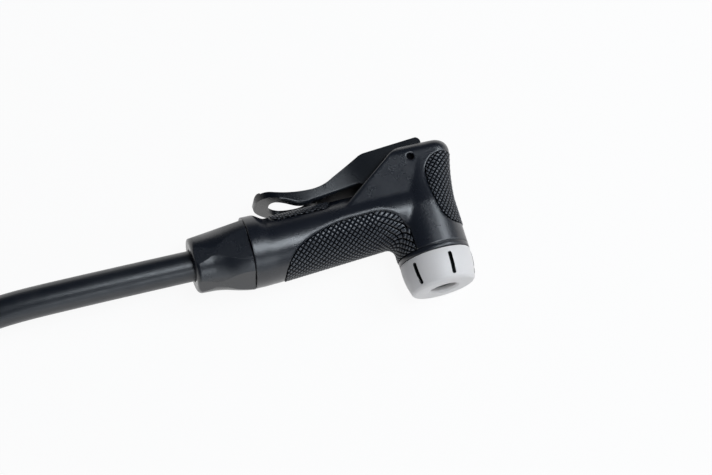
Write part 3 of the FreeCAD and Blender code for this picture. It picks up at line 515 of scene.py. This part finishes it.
def markEdges(node, mesh, size):
    # sharp where the normals' product is under the angle's cosine, and on the collar also where a flat ends
    normals = np.empty(len(mesh.polygons) * 3)
    mesh.polygons.foreach_get("normal", normals)
    normals = normals.reshape(-1, 3)
    edges, one, other = edgeFaces(mesh)
    sharp = (normals[one] * normals[other]).sum(axis=1) < math.cos(math.radians(size["edgeAngle"]))
    if node == "hose_collar":
        label = flatLabels(mesh, normals, size)
        sharp |= label[one] != label[other]
    marked = np.zeros(len(mesh.edges), dtype=bool)
    marked[edges] = sharp
    mesh.edges.foreach_set("use_edge_sharp", marked)
    print(node, "sharp edges:", int(marked.sum()))


def smoothPiece(node, mesh):
    # smooth normals, weighted by the faces' areas and broken at the marked edges
    mesh.shade_smooth()
    markEdges(node, mesh, smoothing)
    piece = addPiece(node + "_skin", mesh, node)
    weights = piece.modifiers.new("evenNormals", "WEIGHTED_NORMAL")
    weights.keep_sharp = True
    return piece


# Degrees, metres in the frame, and how far an arm's face has to look down
rounding = {
    "angle": 35.0, "merge": 1.0, "fine": 0.00035, "fineSteps": 3, "broad": 0.0009, "broadSteps": 4,
    "broadFrom": -0.0150, "broadTo": 0.0160, "padTo": 0.0049, "padWidth": 0.0078, "armWidth": 0.0058,
    "downward": 0.7,
}
# Millimetres from the crossing of the two axes, half widths for pad and waist
lever = {
    "pad": 10.2, "waist": 6.15, "taperFrom": -45.0, "taperTo": -17.6,
    "cut": 0.8, "cutFrom": -46.4, "cutTo": -14.0, "cutWeld": 0.0001, "cutMatch": 0.01,
    "tip": 1.2, "tipPlace": -40.0, "tipEnd": -55.0,
}


def leverCuts(size):
    # the cuts' places along X, evenly spaced
    return np.arange(size["cutFrom"], size["cutTo"], size["cut"])


def cutLever(work, size):
    # cuts square to X, close enough together for the lever's sides to follow a curve
    for cut in leverCuts(size):
        bmesh.ops.bisect_plane(
            work, geom=work.verts[:] + work.edges[:] + work.faces[:], dist=size["cutWeld"] * mm,
            plane_co=(cut * mm + axisPlace[0], 0, 0), plane_no=(1, 0, 0))


def easeWaist(mesh, size):
    # between the cuts half width = pad + (waist - pad) * (3 t^2 - 2 t^3), with t from 0 to 1 along the taper,
    # and the pad's end is drawn in by tip * p^2, with p from 0 to 1 towards its end
    places = np.empty(len(mesh.vertices) * 3)
    mesh.vertices.foreach_get("co", places)
    local = (places.reshape(-1, 3) - axisPlace) / mm
    x = local[:, 0]
    cuts = leverCuts(size)
    nearest = np.argmin(np.abs(x[:, None] - cuts), axis=1)
    onCut = np.abs(x - cuts[nearest]) < size["cutMatch"]
    plain = np.zeros(len(cuts))
    np.maximum.at(plain, nearest[onCut], np.abs(local[onCut, 2]))
    share = np.clip((x - size["taperFrom"]) / (size["taperTo"] - size["taperFrom"]), 0, 1)
    soft = size["pad"] + (size["waist"] - size["pad"]) * share * share * (3 - 2 * share)
    pull = np.clip((size["tipPlace"] - x) / (size["tipPlace"] - size["tipEnd"]), 0, 1)
    local[:, 2] *= np.where((x > cuts[0]) & (x < cuts[-1]), soft / np.interp(x, cuts, plain), 1)
    local[:, 0] += size["tip"] * pull * pull
    mesh.vertices.foreach_set("co", (local * mm + axisPlace).ravel())
    mesh.update()
    print("lever's waist eased over cuts:", len(cuts))


def sharpEdges(work, angle):
    # the edges whose two faces turn by more than the angle
    return [edge for edge in work.edges if edge.calc_face_angle(0.0) > math.radians(angle)]


def underArm(edge, size):
    # both ends lie on an arm's lower outer line, and one of the edge's faces looks down
    for place in edge.verts:
        width = size["padWidth" if place.co.x < size["padTo"] else "armWidth"]
        if not size["broadFrom"] < place.co.x < size["broadTo"]:
            return False
        if abs(place.co.z - axisPlace[2]) <= width:
            return False
    return max(-face.normal.y for face in edge.link_faces) > size["downward"]


def roundEdges(work, edges, offset, steps, clamp):
    # a quarter round of some steps in place of each edge
    bmesh.ops.bevel(
        work, geom=edges, offset=offset, segments=steps, profile=0.5, affect="EDGES", clamp_overlap=clamp)


def roundLever(node, size):
    # every sharp edge gets a fine round, and the lower edges of the arms get a broad one
    mesh = weldedCopy(node)
    work = bmesh.new()
    work.from_mesh(mesh)
    bmesh.ops.dissolve_limit(
        work, angle_limit=math.radians(size["merge"]), verts=work.verts, edges=work.edges)
    broad = [edge for edge in sharpEdges(work, size["angle"]) if underArm(edge, size)]
    roundEdges(work, broad, size["broad"], size["broadSteps"], False)
    roundEdges(work, sharpEdges(work, size["angle"]), size["fine"], size["fineSteps"], True)
    cutLever(work, lever)
    work.to_mesh(mesh)
    work.free()
    easeWaist(mesh, lever)
    return mesh


# Painted shade in the narrow slots, the port's bore and under the lever, chosen by each face's place and
# direction; millimetres from the crossing of the two axes

shades = {
    "capTop": -17.6, "capBottom": -25.0, "capInner": 9.3, "capOuter": 11.05, "capTaper": 0.125,
    "capSkin": 0.12, "portRadius": 4.4, "slotHalfWidth": 7.4, "slotFloor": 2.0, "facing": 0.9,
    "underFrom": -36.0, "underTo": -10.0, "underHalfWidth": 6.9, "downward": 0.6,
}


def faceTable(mesh):
    # face centres in millimetres from the crossing of the two axes, and face normals
    centres = np.empty(len(mesh.polygons) * 3)
    mesh.polygons.foreach_get("center", centres)
    normals = np.empty(len(mesh.polygons) * 3)
    mesh.polygons.foreach_get("normal", normals)
    return (centres.reshape(-1, 3) - axisPlace) / mm, normals.reshape(-1, 3)


def capSlotFaces(centres, normals, size):
    # between the thread and the conical skin over the slots' height,
    # and the port's bore, whose wall looks at its axis
    radius = np.hypot(centres[:, 0], centres[:, 2])
    skin = size["capOuter"] + size["capTaper"] * (centres[:, 1] - size["capBottom"])
    inside = (radius > size["capInner"]) & (radius < skin - size["capSkin"])
    inside &= (centres[:, 1] < size["capTop"]) & (centres[:, 1] > size["capBottom"])
    inward = -(centres[:, 0] * normals[:, 0] + centres[:, 2] * normals[:, 2]) / radius
    return inside | ((radius < size["portRadius"]) & (inward > size["facing"]))


def leverSlotFaces(centres, normals, size):
    # the slot's two walls, which look at each other
    facing = normals[:, 2] * np.sign(centres[:, 2])
    inside = (facing < -size["facing"]) & (np.abs(centres[:, 2]) < size["slotHalfWidth"])
    return inside & (centres[:, 1] > size["slotFloor"])


def leverUnderFaces(centres, normals, size):
    # the underside between the arms, which looks down on the neck
    inside = (centres[:, 0] > size["underFrom"]) & (centres[:, 0] < size["underTo"])
    return inside & (np.abs(centres[:, 2]) < size["underHalfWidth"]) & (normals[:, 1] < -size["downward"])


darkFaces = {"valve_cap": capSlotFaces, "housing": leverSlotFaces, "lever": leverUnderFaces}


def darken(mesh, choose):
    # the chosen faces take the painted shade as the mesh's second material
    mesh.materials.append(materials["slotShade"])
    mesh.polygons.foreach_set("material_index", choose(*faceTable(mesh), shades).astype(np.int32))


gripNodes = ("belly_grip", "back_grip", "thumb_grip")
hoseNodes = ("hose_run", "hose_coil", "hose_tail")
smoothNodes = [node for node in frame["nodes"] if node not in gripNodes + hoseNodes]
for node in smoothNodes:
    skin = smoothPiece(node, roundLever(node, rounding) if node == "lever" else weldedCopy(node))
    if node in darkFaces:
        darken(skin.data, darkFaces[node])
print("CAD pieces smoothed:", len(smoothNodes))


# Rubber grips with raised diamonds

# Metres, with places counted from the crossing of the two axes
grip = {
    "voxel": 0.00022,
    "height": 0.00024,
    "sink": 0.00022,
    "neckRadius": 0.0110,
    "middleLow": -0.0006,
    "middleRise": 0.0021,
    "riseFrom": -0.0524,
    "riseLength": 0.0484,
    "barrelRadius": 0.0120,
    "backRadius": 0.01296,
    "cornerPlace": (-0.0180, -0.0145),
    "cornerRadius": 0.0085,
    "turnLength": 0.00765,
    "thumbMiddle": -0.0002,
}


def diamond(along, across, pitch):
    # the diamond group's formula: 1 - max(|2 fract(u + v) - 1|, |2 fract(u - v) - 1|), eased from foot to top
    first = (along + across) / (pitch * math.sqrt(2))
    second = (along - across) / (pitch * math.sqrt(2))
    one = np.abs(2 * (first - np.floor(first)) - 1)
    other = np.abs(2 * (second - np.floor(second)) - 1)
    share = np.clip((1 - np.maximum(one, other) - studs["foot"]) / (studs["top"] - studs["foot"]), 0, 1)
    return share * share * (3 - 2 * share)


def bellyPlaces(local, size):
    # along = distance along the neck, then round the inner corner
    # across = neck radius * angle from the bottom of the neck's middle line, turning into the barrel's angle
    alongCorner, upCorner = size["cornerPlace"]
    sweep = np.arctan2(local[:, 1] - upCorner, local[:, 0] - alongCorner)
    turned = size["cornerRadius"] * (math.pi / 2 - np.clip(sweep, -math.pi / 2, math.pi / 2))
    along = np.where(local[:, 0] < alongCorner, local[:, 0], alongCorner + turned)
    risen = np.clip((local[:, 0] - size["riseFrom"]) / size["riseLength"], 0, 1)
    middle = size["middleLow"] + size["middleRise"] * risen
    onNeck = np.arctan2(local[:, 2], middle - local[:, 1])
    onBarrel = np.arcsin(np.clip(local[:, 2] / size["barrelRadius"], -1, 1))
    share = np.clip((along - alongCorner) / size["turnLength"], 0, 1)
    return along, size["neckRadius"] * (onNeck * (1 - share) + onBarrel * share)


def backPlaces(local, size):
    # along = height on the barrel; across = back radius * angle round the valve axis
    return local[:, 1], size["backRadius"] * np.arctan2(local[:, 2], local[:, 0])


def thumbPlaces(local, size):
    # along = distance along the neck; across = neck radius * angle from the top
    return local[:, 0], size["neckRadius"] * np.arctan2(local[:, 2], local[:, 1] - size["thumbMiddle"])


def makeGrip(node, places, size):
    # each point of a fine remesh moves along its normal by height * diamond - sink, and the normals from
    # before that are kept, because the bump of the diamond group shades the studs
    mesh = weldedCopy(node)
    piece = addPiece(node + "_rubber", mesh, node)
    remesh = piece.modifiers.new("voxels", "REMESH")
    remesh.mode = "VOXEL"
    remesh.voxel_size = size["voxel"]
    graph = bpy.context.evaluated_depsgraph_get()
    fine = bpy.data.meshes.new_from_object(piece.evaluated_get(graph))
    piece.modifiers.clear()
    piece.data = fine
    count = len(fine.vertices)
    points = np.empty(count * 3)
    fine.vertices.foreach_get("co", points)
    points = points.reshape(-1, 3)
    normals = np.empty(count * 3)
    fine.vertices.foreach_get("normal", normals)
    normals = normals.reshape(-1, 3)
    along, across = places(points - axisPlace, size)
    rise = size["height"] * diamond(along, across, studs["pitch"]) - size["sink"]
    points += normals * rise[:, None]
    fine.vertices.foreach_set("co", points.ravel())
    fine.update()
    fine.normals_split_custom_set_from_vertices(normals.tolist())
    corners = np.empty(len(fine.loops), dtype=np.int32)
    fine.loops.foreach_get("vertex_index", corners)
    layout = fine.uv_layers.new(name="diamonds")
    layout.uv.foreach_set("vector", np.stack([along[corners], across[corners]], axis=1).ravel())
    print(node, "rubber triangles:", len(fine.polygons) * 2)


for node, places in zip(gripNodes, (bellyPlaces, backPlaces, thumbPlaces)):
    makeGrip(node, places, grip)


# Floor, backdrop and light

studio = {
    "floorSize": 6.0,
    "floorDrop": 0.0002,
    "floorColour": (0.86, 0.86, 0.865),
    "backdropShare": 0.93,
    "horizon": (1.0, 1.0, 1.0),
    "ceiling": (0.05, 0.055, 0.065),
    "horizonTop": 0.14,
    "lampColour": (0.86, 0.93, 1.0),
    "lamps": [
        {"name": "ceilingLamp", "from": (0.16, -0.11, 0.83), "size": 0.38, "power": 2.9},
        {"name": "rightLamp", "from": (0.55, 0.10, 0.66), "size": 0.36, "power": 2.2},
        {"name": "frontLamp", "from": (0.04, -0.70, 0.56), "size": 0.28, "power": 0.7},
        {"name": "lowLamp", "from": (-0.10, -0.90, 0.24), "size": 0.60, "power": 0.9},
        {"name": "sideLamp", "from": (0.85, -0.10, 0.35), "size": 0.50, "power": 1.2},
    ],
}


def seenMask(tree):
    # 1 for rays from the camera, mirrors and glass, 0 for light
    path = tree.nodes.new("ShaderNodeLightPath")
    first = tree.nodes.new("ShaderNodeMath")
    first.operation = "MAXIMUM"
    second = tree.nodes.new("ShaderNodeMath")
    second.operation = "MAXIMUM"
    link(tree, path.outputs["Is Camera Ray"], first.inputs[0])
    link(tree, path.outputs["Is Glossy Ray"], first.inputs[1])
    link(tree, first.outputs[0], second.inputs[0])
    link(tree, path.outputs["Is Transmission Ray"], second.inputs[1])
    return second.outputs[0]


def makeFloor(look):
    # paper for light, and nearly white for the camera and for mirrors
    half = look["floorSize"] / 2
    corners = [(-half, -half, 0), (half, -half, 0), (half, half, 0), (-half, half, 0)]
    mesh = bpy.data.meshes.new("floor")
    mesh.from_pydata(corners, [], [(0, 1, 2, 3)])
    floor = bpy.data.objects.new("floor", mesh)
    floor.location.z = -look["floorDrop"]
    bpy.context.scene.collection.objects.link(floor)
    material = bpy.data.materials.new("floorPaper")
    material.use_nodes = True
    tree = material.node_tree
    tree.nodes.clear()
    paper = tree.nodes.new("ShaderNodeBsdfDiffuse")
    paper.inputs["Color"].default_value = (*look["floorColour"], 1)
    glow = tree.nodes.new("ShaderNodeEmission")
    glow.inputs["Color"].default_value = (*look["horizon"], 1)
    share = tree.nodes.new("ShaderNodeMath")
    share.operation = "MULTIPLY"
    share.inputs[1].default_value = look["backdropShare"]
    link(tree, seenMask(tree), share.inputs[0])
    both = tree.nodes.new("ShaderNodeMixShader")
    link(tree, share.outputs[0], both.inputs["Fac"])
    link(tree, paper.outputs[0], both.inputs[1])
    link(tree, glow.outputs[0], both.inputs[2])
    out = tree.nodes.new("ShaderNodeOutputMaterial")
    link(tree, both.outputs[0], out.inputs["Surface"])
    mesh.materials.append(material)


def makeWorld(look):
    # white at the horizon, falling quickly to dark grey overhead
    world = bpy.data.worlds.new("studio")
    bpy.context.scene.world = world
    world.use_nodes = True
    tree = world.node_tree
    tree.nodes.clear()
    way = tree.nodes.new("ShaderNodeTexCoord")
    split = tree.nodes.new("ShaderNodeSeparateXYZ")
    link(tree, way.outputs["Generated"], split.inputs[0])
    ramp = tree.nodes.new("ShaderNodeMapRange")
    ramp.inputs["From Max"].default_value = look["horizonTop"]
    link(tree, split.outputs["Z"], ramp.inputs["Value"])
    sky = tree.nodes.new("ShaderNodeMix")
    sky.data_type = "RGBA"
    sky.inputs["A"].default_value = (*look["horizon"], 1)
    sky.inputs["B"].default_value = (*look["ceiling"], 1)
    link(tree, ramp.outputs["Result"], sky.inputs["Factor"])
    light = tree.nodes.new("ShaderNodeBackground")
    link(tree, sky.outputs["Result"], light.inputs["Color"])
    out = tree.nodes.new("ShaderNodeOutputWorld")
    link(tree, light.outputs[0], out.inputs["Surface"])


def makeLamp(lamp, look):
    # a round lamp that looks at the frame's origin
    data = bpy.data.lights.new(lamp["name"], "AREA")
    data.shape = "DISK"
    data.size = lamp["size"]
    data.energy = lamp["power"]
    data.color = look["lampColour"]
    holder = bpy.data.objects.new(lamp["name"], data)
    holder.location = lamp["from"]
    holder.rotation_mode = "QUATERNION"
    holder.rotation_quaternion = (-Vector(lamp["from"])).to_track_quat("-Z", "Y")
    bpy.context.scene.collection.objects.link(holder)


makeFloor(studio)
makeWorld(studio)
for lamp in studio["lamps"]:
    makeLamp(lamp, studio)
bpy.context.scene.view_settings.view_transform = "Standard"
print("studio lit")


# The end

bpy.context.view_layer.update()
